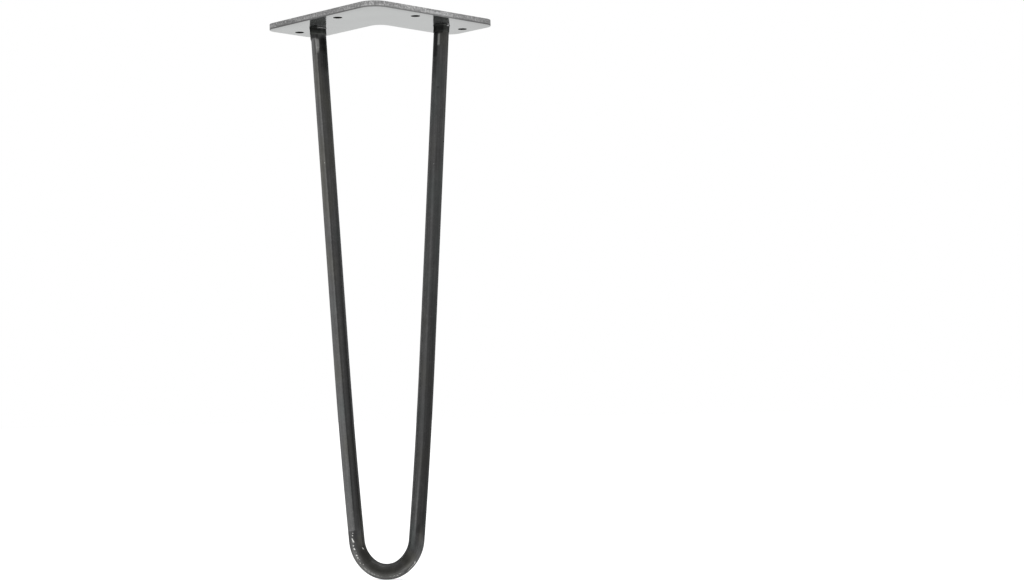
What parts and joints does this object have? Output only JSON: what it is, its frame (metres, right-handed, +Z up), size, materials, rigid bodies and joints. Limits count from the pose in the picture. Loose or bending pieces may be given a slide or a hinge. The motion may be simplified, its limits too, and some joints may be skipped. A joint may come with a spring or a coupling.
{
  "type": "hairpin table leg",
  "caption": "Hairpin table leg: a round steel bar bent into a slim U, welded at both ends under a flat L-shaped mounting plate with screw holes.",
  "frame": {"origin": "on the mounting plate's flat top face, where the centrelines of its two arms cross", "axes": "+Z up out of the plate's top face towards the table top; -Y along the plate's diagonal towards its outer corner, which goes to the table's corner; +X to the right; the leg is symmetric in x = 0"},
  "size_m": [0.184, 0.1239, 0.458],
  "materials": {
    "plate_steel": "bare bright steel sheet, smooth faces and rough cut edges",
    "bar_steel": "raw dark drawn bar, satin, with fine lengthwise marks and scuffs",
    "weld_metal": "dark oxidised weld metal"
  },
  "bodies": {
    "root": {"mounting_plate": "plate_steel", "hairpin_rod": "bar_steel", "weld_left": "weld_metal", "weld_right": "weld_metal"}
  },
  "joints": []
}
